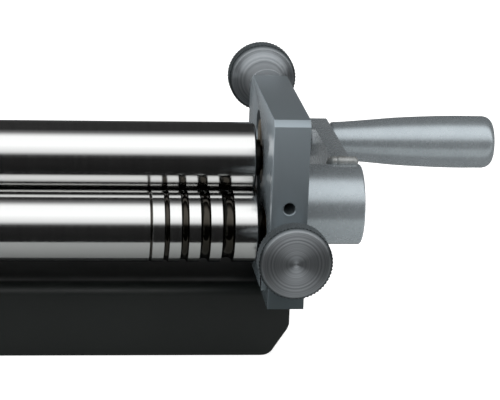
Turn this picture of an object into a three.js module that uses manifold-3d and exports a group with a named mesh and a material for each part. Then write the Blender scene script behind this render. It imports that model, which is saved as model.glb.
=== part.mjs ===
// Three-roll bench bending rolls (slip roll) for sheet and wire.
// Millimetres, +Z up. Origin: middle of the front foot of the base, on the bench.
// +X points to the crank end, +Y to the back.

import * as THREE from 'three';
import { mergeVertices } from 'three/addons/utils/BufferGeometryUtils.js';
import Module from 'manifold-3d';

const wasm = await Module();
wasm.setup();

// ---- driving dimensions ----

const clearance = 0.3;      // gap between pieces that touch
const over = 1;             // how far a cutter runs past the face it cuts

// roll axes as (y, z)
const upperAxis = { y: 8.5, z: 85 };
const frontAxis = { y: -8.5, z: 59.8 };
const driveAxis = { y: 25.5, z: 59.8 };
const idlerAxis = { y: (frontAxis.y + driveAxis.y) / 2, z: frontAxis.z };

const roll = {
  radius: 15, halfLength: 150, chamfer: 0.8, sides: 32,
  collarRadius: 7.75, collarLength: 2.6, journalRadius: 5, journalBore: 5.4, journalEnd: 164,
};
const grooves = { endLand: 10, land: 5, widths: [5, 4, 3, 2, 1] };

const plate = {
  inner: 153, thickness: 15, front: -35, back: 54.7, bottom: 32.1, top: 111.8,
  frontBevel: 2.5, backChamfer: 8, pocketDepth: 12,
};
plate.outer = plate.inner + plate.thickness;
plate.middle = plate.inner + plate.thickness / 2;

const base = {
  halfLength: 167, front: -2, back: 58, top: 31.8, wall: 4, bend: 5,
  cornerWidth: 12, cornerHeight: 13,
};

const block = { radius: 8, slotRadius: 8.3 };
const upperSlide = { angle: Math.PI / 4, slotLow: -3, slotHigh: 14.1, blockLow: -2.7, blockHigh: 9.7 };
const frontSlide = { slotFront: -14, slotBack: -6, blockFront: -11, blockBack: -6.5 };

const shaft = { radius: 6, boreRadius: 6.4, rightEnd: 196.5, leftEnd: -185 };
const bush = { radius: 9.7, holeRadius: 10 };

const screw = { radius: 4, boreRadius: 4.3 };   // M8 adjusting screws
const frontScrew = { y: plate.front, z: frontAxis.z, tip: -19.3 };
const rearScrew = { y: plate.back, z: 104.7, tip: 32.1, boreEnd: 19.8 };
const stud = { radius: 3, boreRadius: 3.4, low: 18, high: 25.1 };
const plunger = { back: 31.8 };
const knob = {
  seatGap: 0.6, neckRadius: 8, neckLength: 6.5, flareLength: 9.5, rimRadius: 15, rimLength: 10,
  chamfer: 1.5, bore: 20, sides: 24,
};

const gear = { module: 1, thickness: 8, inner: -171, addendum: 0.85, dedendum: 1.2, toothShare: 0.4 };
const teeth = { drive: 18, idler: 16, front: 18 };
const gearNut = { driveFlats: 17, frontFlats: 15, thickness: 4.5 };
const idlerPin = { radius: 4, boreRadius: 4.4, headRadius: 6, headLength: 3, depth: 10.7 };
const washer = { radius: 6.5, thickness: 1 };
const cover = { outerRadius: 17, innerRadius: 14.6, end: -190, wall: 2.2, screwOffset: 12.2 };
const coverScrew = {
  radius: 1.8, tapRadius: 2.1, holeRadius: 2.3, headRadius: 3.5, headLength: 2.4, depth: 7,
};
const coverScrewPlaces = [-1, 1].map((way) => (
  { y: idlerAxis.y, z: idlerAxis.z + way * cover.screwOffset }));

const hub = { radius: 17.5, inner: 168.6, outer: 199.4, chamfer: 1.2 };
const hubScrew = { radius: 3, holeRadius: 3.3, x: 181, sunk: 2 };
const arm = { inner: 188.3, outer: 196.3, rootHalfWidth: 17.3, endRadius: 10.5, spindleHole: 4.3 };
const handleAxis = { y: 110.9, z: 66 };
const handle = { start: 198.4, end: 275.4, boreRadius: 4.4, boreEnd: 260, noseRadius: 4, sides: 28 };
const spindle = { radius: 4, shoulderRadius: 6, pastNut: 7 };
const spindleNut = { acrossFlats: 13, boreRadius: 4.4, thickness: 5.5 };

const keeper = {
  inner: 150.4, outer: 152.7, front: -33, back: 9, bottom: 39.3, top: 51,
  screwPlaces: [{ y: -28, z: 42.8 }, { y: 4, z: 42.8 }],
};
const keeperScrew = {
  headRadius: 3.4, headDepth: 1.6, sinkRadius: 3.9, sink: 0.4, set: 0.2,
  radius: 1.8, tapRadius: 2.1, holeRadius: 2.3, end: 161,
};

const baseScrew = { radius: 3, holeRadius: 3.3, headRadius: 5, headLength: 6, end: 38.8 };
const baseScrewPlaces = { front: 8, back: 38 };   // along Y, under the middle of each plate

const tappedHole = { radius: 2.4, z: 75, end: -3, screwFront: -22, screwBack: -12 };
const socket = { radius: 1.3, depth: 3 };

// ---- finishes ----

function finish(color, roughness, metalness) {
  return { color, roughness, metalness };
}

const finishes = {
  blackPaint: finish(0x1c1f1f, 0.45, 0.0),
  plateSteel: finish(0x8a9498, 0.42, 0.9),
  polishedSteel: finish(0xd4d6d8, 0.08, 1.0),
  turnedSteel: finish(0x8b9196, 0.3, 1.0),
  bronze: finish(0x9a7a45, 0.35, 1.0),
  darkScrew: finish(0x2b2b2d, 0.45, 0.8),
  brightScrew: finish(0xa9adb0, 0.3, 1.0),
  satinSteel: finish(0x959da2, 0.38, 0.9),
  gearSteel: finish(0x77797a, 0.4, 1.0),
};

// ---- geometry helpers ----

// merges shared corners, drops collapsed faces and turns every face outwards
function closed(geometry) {
  const source = geometry.index ? geometry.toNonIndexed() : geometry.clone();
  for (const name of Object.keys(source.attributes)) {
    if (name !== 'position') source.deleteAttribute(name);
  }
  const merged = mergeVertices(source, 1e-4);
  const position = merged.attributes.position;
  const corner = [0, 1, 2].map(() => new THREE.Vector3());
  const faces = [];
  let volume = 0;
  for (let i = 0; i < merged.index.count; i += 3) {
    const face = [0, 1, 2].map((k) => merged.index.getX(i + k));
    if (new Set(face).size < 3) continue;
    face.forEach((vertex, k) => corner[k].fromBufferAttribute(position, vertex));
    volume += corner[0].dot(corner[1].clone().cross(corner[2]));
    faces.push(face);
  }
  if (volume < 0) faces.forEach((face) => face.reverse());
  const result = new THREE.BufferGeometry();
  result.setAttribute('position', new THREE.Float32BufferAttribute(position.array, 3));
  result.setIndex(faces.flat());
  return result;
}

function toManifold(geometry) {
  const shell = closed(geometry);
  return new wasm.Manifold(new wasm.Mesh({
    numProp: 3,
    vertProperties: new Float32Array(shell.attributes.position.array),
    triVerts: new Uint32Array(shell.index.array),
  }));
}

function fromManifold(solid) {
  const mesh = solid.getMesh();
  const geometry = new THREE.BufferGeometry();
  geometry.setAttribute('position', new THREE.Float32BufferAttribute(mesh.vertProperties, 3));
  geometry.setIndex(Array.from(mesh.triVerts));
  return geometry;
}

function cut(body, ...tools) {
  return fromManifold(tools.reduce((left, tool) => left.subtract(toManifold(tool)), toManifold(body)));
}

// the same piece for the other end of the machine
function mirrored(geometry) {
  return closed(geometry.clone().scale(-1, 1, 1));
}

function forSide(side, geometry) {
  return side > 0 ? geometry : mirrored(geometry);
}

function box(x0, x1, y0, y1, z0, z1) {
  const geometry = new THREE.BoxGeometry(x1 - x0, y1 - y0, z1 - z0);
  return geometry.translate((x0 + x1) / 2, (y0 + y1) / 2, (z0 + z1) / 2);
}

// turned pieces: profile points are [radius, place along the axis]
function turned(profile, sides) {
  const points = profile.map(([radius, along]) => new THREE.Vector2(radius, along));
  return closed(new THREE.LatheGeometry(points, sides));
}

function alongX(geometry) {
  return geometry.rotateZ(-Math.PI / 2);
}

function alongZ(geometry) {
  return geometry.rotateX(Math.PI / 2);
}

function rodProfile(radius, from, to) {
  return [[0, from], [radius, from], [radius, to], [0, to]];
}

function tubeProfile(outerRadius, innerRadius, from, to) {
  const outside = [[outerRadius, from], [outerRadius, to]];
  return [[innerRadius, from], ...outside, [innerRadius, to], [innerRadius, from]];
}

function rodX(radius, from, to, axis, sides = 20) {
  return alongX(turned(rodProfile(radius, from, to), sides)).translate(0, axis.y, axis.z);
}

function rodY(radius, from, to, x, z, sides = 20) {
  return turned(rodProfile(radius, from, to), sides).translate(x, 0, z);
}

function rodZ(radius, from, to, x, y, sides = 16) {
  return alongZ(turned(rodProfile(radius, from, to), sides)).translate(x, y, 0);
}

// a shape drawn in (y, z), given a thickness along X
function slabX(shape, x0, x1, curveSegments = 8) {
  const options = { depth: x1 - x0, bevelEnabled: false, curveSegments };
  const geometry = new THREE.ExtrudeGeometry(shape, options);
  const turn = new THREE.Matrix4().makeBasis(
    new THREE.Vector3(0, 1, 0), new THREE.Vector3(0, 0, 1), new THREE.Vector3(1, 0, 0));
  return geometry.applyMatrix4(turn).translate(x0, 0, 0);
}

// a shape drawn in (x, z), given a thickness along Y
function slabY(shape, y0, y1, curveSegments = 6) {
  const options = { depth: y1 - y0, bevelEnabled: false, curveSegments };
  const geometry = new THREE.ExtrudeGeometry(shape, options);
  const turn = new THREE.Matrix4().makeBasis(
    new THREE.Vector3(1, 0, 0), new THREE.Vector3(0, 0, 1), new THREE.Vector3(0, -1, 0));
  return geometry.applyMatrix4(turn).translate(0, y1, 0);
}

function polygon(points) {
  return new THREE.Shape(points.map(([a, b]) => new THREE.Vector2(a, b)));
}

// a slot outline with round ends, from centre a to centre b
function slotShape(a, b, radius) {
  const angle = Math.atan2(b.z - a.z, b.y - a.y);
  const shape = new THREE.Shape();
  shape.absarc(b.y, b.z, radius, angle - Math.PI / 2, angle + Math.PI / 2, false);
  shape.absarc(a.y, a.z, radius, angle + Math.PI / 2, angle + 1.5 * Math.PI, false);
  return shape;
}

// a point on the upper roll's slide, at a distance from the rest place of its axis
function onUpperSlide(distance) {
  return {
    y: upperAxis.y + distance * Math.cos(upperSlide.angle),
    z: upperAxis.z + distance * Math.sin(upperSlide.angle),
  };
}

// turns a rod drawn along Y to lie along the upper roll's slide
function rodOnSlide(radius, from, to, sides = 16) {
  const rod = turned(rodProfile(radius, from, to), sides).rotateX(upperSlide.angle);
  return rod.translate(plate.middle, upperAxis.y, upperAxis.z);
}

function hexNut(acrossFlats, boreRadius, from, to) {
  const corner = acrossFlats / Math.sqrt(3);
  const prism = turned(rodProfile(corner, from, to), 6);
  return alongX(cut(prism, turned(rodProfile(boreRadius, from - over, to + over), 16)));
}

// ---- scene graph ----

const group = new THREE.Group();

function add(name, geometry, look, place = [0, 0, 0], parent = group) {
  const material = new THREE.MeshStandardMaterial(look);
  const mesh = new THREE.Mesh(closed(geometry), material);
  mesh.name = name;
  mesh.position.set(...place);
  parent.add(mesh);
  return mesh;
}

const sides = { right: 1, left: -1 };

// ---- base ----

function channelSection() {
  const { front, back, top, wall, bend } = base;
  const inner = bend - wall;
  const shape = new THREE.Shape();
  shape.moveTo(front, 0);
  shape.lineTo(front + wall, 0);
  shape.lineTo(front + wall, top - wall - inner);
  shape.absarc(front + bend, top - bend, inner, Math.PI, Math.PI / 2, true);
  shape.absarc(back - bend, top - bend, inner, Math.PI / 2, 0, true);
  shape.lineTo(back - wall, 0);
  shape.lineTo(back, 0);
  shape.absarc(back - bend, top - bend, bend, 0, Math.PI / 2, false);
  shape.absarc(front + bend, top - bend, bend, Math.PI / 2, Math.PI, false);
  shape.lineTo(front, 0);
  return shape;
}

// the lower corners of both legs are cut away in a soft slant
function cornerCutter(side) {
  const { halfLength, cornerWidth, cornerHeight } = base;
  const start = halfLength - cornerWidth;
  const shape = new THREE.Shape();
  shape.moveTo(side * start, -over);
  shape.lineTo(side * start, 0);
  shape.quadraticCurveTo(side * (start + 4), 0, side * (start + 5.5), 3);
  shape.lineTo(side * halfLength, cornerHeight);
  shape.lineTo(side * (halfLength + over), cornerHeight);
  shape.lineTo(side * (halfLength + over), -over);
  shape.lineTo(side * start, -over);
  return slabY(shape, base.front - over, base.back + over);
}

function makeBase() {
  const channel = slabX(channelSection(), -base.halfLength, base.halfLength, 5);
  const holes = Object.values(sides).flatMap((side) => Object.values(baseScrewPlaces).map((y) => (
    rodZ(baseScrew.holeRadius, base.top - base.wall - over, base.top + over, side * plate.middle, y))));
  add('base_channel', cut(channel, cornerCutter(1), cornerCutter(-1), ...holes), finishes.blackPaint);

  for (const [sideName, side] of Object.entries(sides)) {
    for (const [placeName, y] of Object.entries(baseScrewPlaces)) {
      const under = base.top - base.wall - clearance;
      const profile = [
        [0, under - baseScrew.headLength], [baseScrew.headRadius, under - baseScrew.headLength],
        [baseScrew.headRadius, under], [baseScrew.radius, under], [baseScrew.radius, baseScrew.end],
        [0, baseScrew.end],
      ];
      add(`base_screw_${sideName}_${placeName}`, alongZ(turned(profile, 12)), finishes.darkScrew,
        [side * plate.middle, y, 0]);
    }
  }
}

// ---- end plates ----

function plateOutline() {
  const { front, back, bottom, top, frontBevel, backChamfer } = plate;
  return polygon([
    [front, bottom], [back, bottom], [back, top - backChamfer], [back - backChamfer, top],
    [front + frontBevel, top], [front, top - frontBevel],
  ]);
}

function upperSlot() {
  const { slotLow, slotHigh } = upperSlide;
  const shape = slotShape(onUpperSlide(slotLow), onUpperSlide(slotHigh), block.slotRadius);
  return slabX(shape, plate.inner - over, plate.inner + plate.pocketDepth);
}

function frontSlot() {
  const from = { y: frontSlide.slotFront, z: frontAxis.z };
  const to = { y: frontSlide.slotBack, z: frontAxis.z };
  const shape = slotShape(from, to, block.slotRadius);
  return slabX(shape, plate.inner - over, plate.inner + plate.pocketDepth);
}

// lets the geared journal of the front roll pass the outer wall and slide with its block
function journalWindow() {
  const from = { y: frontAxis.y - 2, z: frontAxis.z };
  return slabX(slotShape(from, frontAxis, roll.journalBore + 0.4), plate.inner, plate.outer + over);
}

function plateCutters() {
  return [
    upperSlot(),
    frontSlot(),
    rodX(bush.holeRadius, plate.inner - over, plate.outer + over, driveAxis, 28),
    rodY(screw.boreRadius, plate.front - over, frontSlide.slotFront, plate.middle, frontScrew.z),
    rodY(screw.boreRadius, rearScrew.boreEnd, plate.back + over, plate.middle, rearScrew.z),
    rodOnSlide(stud.boreRadius, upperSlide.slotHigh, stud.high + 1),
    rodY(tappedHole.radius, plate.front - over, tappedHole.end, plate.middle, tappedHole.z, 14),
    ...Object.values(baseScrewPlaces).map((y) => (
      rodZ(baseScrew.holeRadius, plate.bottom - over, baseScrew.end + 1, plate.middle, y))),
    ...keeper.screwPlaces.map((place) => (
      rodX(keeperScrew.tapRadius, plate.inner - over, keeperScrew.end + 1, place, 12))),
  ];
}

function makePlates() {
  const body = slabX(plateOutline(), plate.inner, plate.outer);
  add('end_plate_right', cut(body, ...plateCutters()), finishes.plateSteel);

  const coverHoles = coverScrewPlaces.map((place) => (
    rodX(coverScrew.tapRadius, plate.outer - coverScrew.depth - 1, plate.outer + over, place, 12)));
  const pinHole = rodX(idlerPin.radius + clearance, plate.outer - idlerPin.depth - clearance,
    plate.outer + over, idlerAxis, 16);
  const leftBody = cut(body, ...plateCutters(), journalWindow(), pinHole, ...coverHoles);
  add('end_plate_left', mirrored(leftBody), finishes.plateSteel);

  for (const [sideName, side] of Object.entries(sides)) {
    const setScrew = cut(
      rodY(tappedHole.radius - clearance, tappedHole.screwFront, tappedHole.screwBack, 0, 0, 14),
      rodY(socket.radius, tappedHole.screwFront - over, tappedHole.screwFront + socket.depth, 0, 0, 6));
    add(`set_screw_${sideName}`, setScrew, finishes.darkScrew, [side * plate.middle, 0, tappedHole.z]);

    const tube = tubeProfile(bush.radius, shaft.boreRadius, plate.inner, plate.outer);
    add(`drive_bush_${sideName}`, forSide(side, alongX(turned(tube, 28))), finishes.bronze,
      [0, driveAxis.y, driveAxis.z]);
  }
}

// strips that keep the front bearing blocks in their slots
function makeKeepers() {
  const { headRadius, headDepth, sinkRadius, sink, set, holeRadius, end } = keeperScrew;
  const strip = box(keeper.inner, keeper.outer, keeper.front, keeper.back, keeper.bottom, keeper.top);
  const sinkProfile = [
    [0, keeper.inner - over], [sinkRadius, keeper.inner - over], [sinkRadius, keeper.inner + sink],
    [holeRadius, keeper.inner + sink + headDepth], [holeRadius, keeper.outer + over],
    [0, keeper.outer + over],
  ];
  const holes = keeper.screwPlaces.map(({ y, z }) => alongX(turned(sinkProfile, 12)).translate(0, y, z));
  const screwProfile = [
    [0, keeper.inner + set], [headRadius, keeper.inner + set],
    [keeperScrew.radius, keeper.inner + set + headDepth], [keeperScrew.radius, end], [0, end],
  ];
  for (const [sideName, side] of Object.entries(sides)) {
    add(`block_keeper_${sideName}`, forSide(side, cut(strip, ...holes)), finishes.satinSteel);
    keeper.screwPlaces.forEach(({ y, z }, index) => {
      const name = `keeper_screw_${sideName}_${index === 0 ? 'front' : 'back'}`;
      add(name, forSide(side, alongX(turned(screwProfile, 12))), finishes.darkScrew, [0, y, z]);
    });
  }
}

// ---- rolls ----

// half of the barrel's outline, from the plain left end to the grooved right end
function barrelProfile(withGrooves) {
  const { radius, halfLength, chamfer } = roll;
  const points = [[radius - chamfer, -halfLength], [radius, -halfLength + chamfer]];
  if (withGrooves) {
    const cuts = [];
    let right = halfLength - grooves.endLand;
    for (const width of grooves.widths) {
      cuts.unshift({ left: right - width, right, depth: width / 2 });
      right -= width + grooves.land;
    }
    for (const { left, right: end, depth } of cuts) {
      points.push([radius, left], [radius - depth * 0.8, left + depth * 0.4]);
      points.push([radius - depth * 0.8, end - depth * 0.4], [radius, end]);
    }
  }
  points.push([radius, halfLength - chamfer], [radius - chamfer, halfLength]);
  return points;
}

function rollProfile(withGrooves, left, right) {
  const { collarRadius, halfLength, collarLength } = roll;
  const collar = halfLength + collarLength;
  return [
    [0, left.end], [left.radius, left.end], [left.radius, -collar], [collarRadius, -collar],
    [collarRadius, -halfLength],
    ...barrelProfile(withGrooves),
    [collarRadius, halfLength], [collarRadius, collar], [right.radius, collar],
    [right.radius, right.end], [0, right.end],
  ];
}

function makeRolls() {
  const plain = (way) => ({ radius: roll.journalRadius, end: way * roll.journalEnd });
  const geared = { radius: roll.journalRadius, end: shaft.leftEnd };
  const lathes = {
    upper_roll: { axis: upperAxis, profile: rollProfile(false, plain(-1), plain(1)) },
    front_roll: { axis: frontAxis, profile: rollProfile(true, geared, plain(1)) },
    drive_roll: {
      axis: driveAxis,
      profile: rollProfile(true, { radius: shaft.radius, end: shaft.leftEnd },
        { radius: shaft.radius, end: shaft.rightEnd }),
    },
  };
  for (const [name, { axis, profile }] of Object.entries(lathes)) {
    add(name, alongX(turned(profile, roll.sides)), finishes.polishedSteel, [0, axis.y, axis.z]);
  }
}

// ---- bearing blocks and their thrust parts ----

function bearingBlock(from, to, axis) {
  const outer = slabX(slotShape(from, to, block.radius), plate.inner + clearance,
    plate.inner + plate.pocketDepth - clearance, 8);
  return cut(outer, rodX(roll.journalBore, plate.inner - over, plate.outer, axis, 24));
}

function makeBlocks() {
  const { blockLow, blockHigh } = upperSlide;
  const upper = bearingBlock(onUpperSlide(blockLow), onUpperSlide(blockHigh), upperAxis);
  const front = bearingBlock({ y: frontSlide.blockFront, z: frontAxis.z },
    { y: frontSlide.blockBack, z: frontAxis.z }, frontAxis);
  for (const [sideName, side] of Object.entries(sides)) {
    add(`upper_block_${sideName}`, forSide(side, upper), finishes.bronze);
    add(`front_block_${sideName}`, forSide(side, front), finishes.bronze);
    add(`thrust_stud_${sideName}`, forSide(side, rodOnSlide(stud.radius, stud.low, stud.high, 14)),
      finishes.brightScrew);
  }
}

// a short round plunger whose slanted nose bears on the thrust stud
function makePlungers() {
  const noseFront = onUpperSlide(stud.high + clearance);
  const rod = rodY(screw.radius, rearScrew.boreEnd + clearance, plunger.back, plate.middle, rearScrew.z);
  const reach = 30;
  const nose = box(plate.inner, plate.outer, -reach, 0, -reach, reach).rotateX(upperSlide.angle);
  nose.translate(0, noseFront.y, noseFront.z);
  for (const [sideName, side] of Object.entries(sides)) {
    add(`rear_plunger_${sideName}`, forSide(side, cut(rod, nose)), finishes.brightScrew);
  }
}

// ---- adjusting knobs ----

// profile along the knob's axis, from the plate outwards
function knobProfile() {
  const { neckRadius, neckLength, flareLength, rimRadius, rimLength, chamfer, bore } = knob;
  const rimStart = neckLength + flareLength;
  const end = rimStart + rimLength;
  const flare = [0.35, 0.7, 1].map((share) => {
    const turn = share * Math.PI / 2;
    return [
      neckRadius + (rimRadius - chamfer - neckRadius) * (1 - Math.cos(turn)),
      neckLength + (flareLength - 1) * Math.sin(turn),
    ];
  });
  return [
    [screw.boreRadius, 0], [neckRadius, 0], [neckRadius, neckLength], ...flare,
    [rimRadius, rimStart + chamfer], [rimRadius, end - chamfer], [rimRadius - chamfer, end],
    [0, end], [0, bore], [screw.boreRadius, bore], [screw.boreRadius, 0],
  ];
}

// a knob with its screw, standing on the plate at seat and pointing away from it
function addKnob(place, sideName, seat, screwLength, turn) {
  const stand = new THREE.Group();
  stand.position.set(sides[sideName] * plate.middle, seat.y, seat.z);
  stand.rotation.z = turn;
  group.add(stand);
  add(`${place}_knob_${sideName}`, turned(knobProfile(), knob.sides), finishes.turnedSteel,
    [0, knob.seatGap, 0], stand);
  const inside = knob.seatGap + knob.bore - clearance;
  add(`${place}_screw_${sideName}`, turned(rodProfile(screw.radius, -screwLength, inside), 20),
    finishes.brightScrew, [0, 0, 0], stand);
}

function makeKnobs() {
  for (const sideName of Object.keys(sides)) {
    addKnob('rear', sideName, rearScrew, rearScrew.y - rearScrew.tip, 0);
    addKnob('front', sideName, frontScrew, frontScrew.tip - frontScrew.y, Math.PI);
  }
}

// ---- gear train on the left end ----

// straight-sided teeth; the first tooth, or the first gap, lies on the +Y side
function gearShape(count, startWithGap) {
  const pitchRadius = gear.module * count / 2;
  const tip = pitchRadius + gear.addendum * gear.module;
  const root = pitchRadius - gear.dedendum * gear.module;
  const step = 2 * Math.PI / count;
  const points = [];
  for (let i = 0; i < count; i += 1) {
    const centre = step * (i + (startWithGap ? 0.5 : 0));
    const rootHalf = step * gear.toothShare * 0.72;
    const tipHalf = step * gear.toothShare * 0.3;
    const tooth = [
      [root, centre - rootHalf], [tip, centre - tipHalf], [tip, centre + tipHalf],
      [root, centre + rootHalf],
    ];
    points.push(...tooth.map(([radius, angle]) => [radius * Math.cos(angle), radius * Math.sin(angle)]));
  }
  return polygon(points);
}

function gearWheel(count, boreRadius, startWithGap) {
  const outer = gear.inner - gear.thickness;
  const shape = gearShape(count, startWithGap);
  const bore = new THREE.Path();
  bore.absarc(0, 0, boreRadius, 0, 2 * Math.PI, false);
  shape.holes.push(bore);
  return slabX(shape, outer, gear.inner, 10);
}

function makeGears() {
  const outer = gear.inner - gear.thickness;
  const wheels = [
    ['drive_gear', teeth.drive, shaft.boreRadius, false, driveAxis],
    ['idler_gear', teeth.idler, idlerPin.boreRadius, true, idlerAxis],
    ['front_gear', teeth.front, roll.journalBore, false, frontAxis],
  ];
  for (const [name, count, boreRadius, startWithGap, axis] of wheels) {
    add(name, gearWheel(count, boreRadius, startWithGap), finishes.gearSteel, [0, axis.y, axis.z]);
  }

  const to = outer - clearance;
  const nuts = [
    ['drive_gear_nut', gearNut.driveFlats, shaft.boreRadius, driveAxis],
    ['front_gear_nut', gearNut.frontFlats, roll.journalBore, frontAxis],
  ];
  for (const [name, acrossFlats, boreRadius, axis] of nuts) {
    add(name, hexNut(acrossFlats, boreRadius, to - gearNut.thickness, to), finishes.brightScrew,
      [0, axis.y, axis.z]);
  }

  const ring = tubeProfile(washer.radius, idlerPin.boreRadius, to - washer.thickness, to);
  add('idler_washer', alongX(turned(ring, 20)), finishes.brightScrew, [0, idlerAxis.y, idlerAxis.z]);

  const { radius, headRadius, headLength, depth } = idlerPin;
  const headStart = to - washer.thickness - clearance;
  const pinEnd = depth - plate.outer;
  const pin = [
    [0, headStart - headLength], [headRadius, headStart - headLength], [headRadius, headStart],
    [radius, headStart], [radius, pinEnd], [0, pinEnd],
  ];
  add('idler_pin', alongX(turned(pin, 20)), finishes.brightScrew, [0, idlerAxis.y, idlerAxis.z]);
}

function makeGearCover() {
  const front = { y: frontAxis.y - 2, z: frontAxis.z };
  const open = -plate.outer - clearance;
  const shell = slabX(slotShape(front, driveAxis, cover.outerRadius), cover.end, open, 12);
  const inside = slotShape(front, driveAxis, cover.innerRadius);
  const hollow = slabX(inside, cover.end + cover.wall, open + over, 12);
  const holes = coverScrewPlaces.map((place) => (
    rodX(coverScrew.holeRadius, cover.end - over, cover.end + cover.wall + over, place, 12)));
  add('gear_cover', cut(shell, hollow, ...holes), finishes.blackPaint);

  coverScrewPlaces.forEach(({ y, z }, index) => {
    const under = cover.end - clearance;
    const tip = coverScrew.depth - plate.outer;
    const profile = [
      [0, under - coverScrew.headLength], [coverScrew.headRadius, under - coverScrew.headLength],
      [coverScrew.headRadius, under], [coverScrew.radius, under], [coverScrew.radius, tip], [0, tip],
    ];
    const name = index === 0 ? 'lower' : 'upper';
    add(`cover_screw_${name}`, alongX(turned(profile, 12)), finishes.brightScrew, [0, y, z]);
  });
}

// ---- crank ----

// crank parts are drawn about the drive roll's axis, with the arm along +Y, then turned to rest
const armReach = Math.hypot(handleAxis.y - driveAxis.y, handleAxis.z - driveAxis.z);
const armAngle = Math.atan2(handleAxis.z - driveAxis.z, handleAxis.y - driveAxis.y);

function makeHub(crank) {
  const { radius, inner, outer, chamfer } = hub;
  const lathe = turned([
    [shaft.boreRadius, inner], [radius - chamfer, inner], [radius, inner + chamfer],
    [radius, outer - chamfer], [radius - chamfer, outer], [shaft.boreRadius, outer],
    [shaft.boreRadius, inner],
  ], 36);
  const screwHole = rodZ(hubScrew.holeRadius, -radius - over, -shaft.radius, hubScrew.x, 0);
  add('crank_hub', cut(alongX(lathe), screwHole), finishes.satinSteel, [0, 0, 0], crank);
  const from = hubScrew.sunk - radius;
  const screwBody = rodZ(hubScrew.radius, from, -shaft.radius - clearance, hubScrew.x, 0, 14);
  add('crank_set_screw', screwBody, finishes.darkScrew, [0, 0, 0], crank);
}

// a flat bar that tapers from the hub's width to a round end, cut out where it sits on the hub
function makeArm(crank) {
  const { inner, outer, rootHalfWidth, endRadius } = arm;
  const taper = Math.asin((rootHalfWidth - endRadius) / armReach);
  const shape = new THREE.Shape();
  shape.moveTo(0, -rootHalfWidth);
  shape.absarc(armReach, 0, endRadius, taper - Math.PI / 2, Math.PI / 2 - taper, false);
  shape.lineTo(0, rootHalfWidth);
  shape.lineTo(0, -rootHalfWidth);
  const hubSpace = rodX(hub.radius + clearance, inner - over, outer + over, { y: 0, z: 0 }, 36);
  const hole = rodX(arm.spindleHole, inner - over, outer + over, { y: armReach, z: 0 }, 18);
  add('crank_arm', cut(slabX(shape, inner, outer, 12), hubSpace, hole), finishes.satinSteel,
    [0, 0, 0], crank);
}

// machine handle: slim at the arm, fullest near its rounded end
function gripProfile() {
  const { start, end, boreRadius, boreEnd, noseRadius } = handle;
  const bulge = [
    [0, 8.8], [0.08, 9.1], [0.25, 10.2], [0.4, 11.2], [0.63, 12.1], [0.78, 12.4], [0.9, 12.3],
  ];
  const nose = [15, 45, 75].map((degrees) => {
    const turn = degrees * Math.PI / 180;
    return [12 - noseRadius * (1 - Math.cos(turn)), end - noseRadius * (1 - Math.sin(turn))];
  });
  return [
    [boreRadius, start], ...bulge.map(([share, radius]) => [radius, start + share * (end - start)]),
    ...nose, [7, end], [0, end], [0, boreEnd], [boreRadius, boreEnd], [boreRadius, start],
  ];
}

function makeHandle(crank) {
  const { radius, shoulderRadius, pastNut } = spindle;
  const first = arm.inner - pastNut;
  const last = handle.boreEnd - clearance;
  const shoulder = { from: arm.outer + clearance, to: handle.start - clearance };
  const rod = turned([
    [0, first], [radius, first], [radius, shoulder.from], [shoulderRadius, shoulder.from],
    [shoulderRadius, shoulder.to], [radius, shoulder.to], [radius, last], [0, last],
  ], 18);
  add('handle_spindle', alongX(rod), finishes.brightScrew, [0, armReach, 0], crank);
  const { acrossFlats, boreRadius, thickness } = spindleNut;
  const nutEnd = arm.inner - clearance;
  add('spindle_nut', hexNut(acrossFlats, boreRadius, nutEnd - thickness, nutEnd), finishes.brightScrew,
    [0, armReach, 0], crank);
  add('handle_grip', alongX(turned(gripProfile(), handle.sides)), finishes.satinSteel,
    [0, armReach, 0], crank);
}

function makeCrank() {
  const crank = new THREE.Group();
  crank.position.set(0, driveAxis.y, driveAxis.z);
  crank.rotation.x = armAngle;
  group.add(crank);
  makeHub(crank);
  makeArm(crank);
  makeHandle(crank);
}

makeBase();
makePlates();
makeKeepers();
makeRolls();
makeBlocks();
makePlungers();
makeKnobs();
makeGears();
makeGearCover();
makeCrank();

export default group;
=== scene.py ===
import bmesh
import bpy
import math
from mathutils import Matrix, Vector


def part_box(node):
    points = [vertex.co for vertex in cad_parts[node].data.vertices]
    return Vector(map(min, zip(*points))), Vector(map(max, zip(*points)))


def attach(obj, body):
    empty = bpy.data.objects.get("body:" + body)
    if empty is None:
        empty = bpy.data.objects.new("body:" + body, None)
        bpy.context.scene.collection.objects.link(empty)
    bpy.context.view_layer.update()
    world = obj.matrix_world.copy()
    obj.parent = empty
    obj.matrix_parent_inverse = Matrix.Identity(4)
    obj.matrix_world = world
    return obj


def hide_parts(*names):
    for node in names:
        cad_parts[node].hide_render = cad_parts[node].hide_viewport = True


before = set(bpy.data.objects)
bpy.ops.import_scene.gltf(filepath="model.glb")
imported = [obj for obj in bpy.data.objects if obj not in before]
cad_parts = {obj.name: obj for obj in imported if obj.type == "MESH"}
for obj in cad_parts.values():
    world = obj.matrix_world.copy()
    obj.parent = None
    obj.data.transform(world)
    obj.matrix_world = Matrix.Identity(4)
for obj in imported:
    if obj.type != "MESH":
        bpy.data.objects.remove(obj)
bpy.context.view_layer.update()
mm = 0.001
print("frame loaded,", len(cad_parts), "nodes")


# small tools

def toLinear(hexColour):
    parts = [int(hexColour[i:i + 2], 16) / 255 for i in (1, 3, 5)]
    return [p / 12.92 if p <= 0.04045 else ((p + 0.055) / 1.055) ** 2.4 for p in parts] + [1.0]


def addNode(tree, kind, inputs=None, **settings):
    node = tree.nodes.new(kind)
    for key, value in settings.items():
        setattr(node, key, value)
    for key, value in (inputs or {}).items():
        socket = node.inputs[key]
        if isinstance(value, bpy.types.NodeSocket):
            tree.links.new(value, socket)
        else:
            socket.default_value = value
    return node


def lowCorner(node):
    return Vector(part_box(node)[0]) / mm


def highCorner(node):
    return Vector(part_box(node)[1]) / mm


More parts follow.
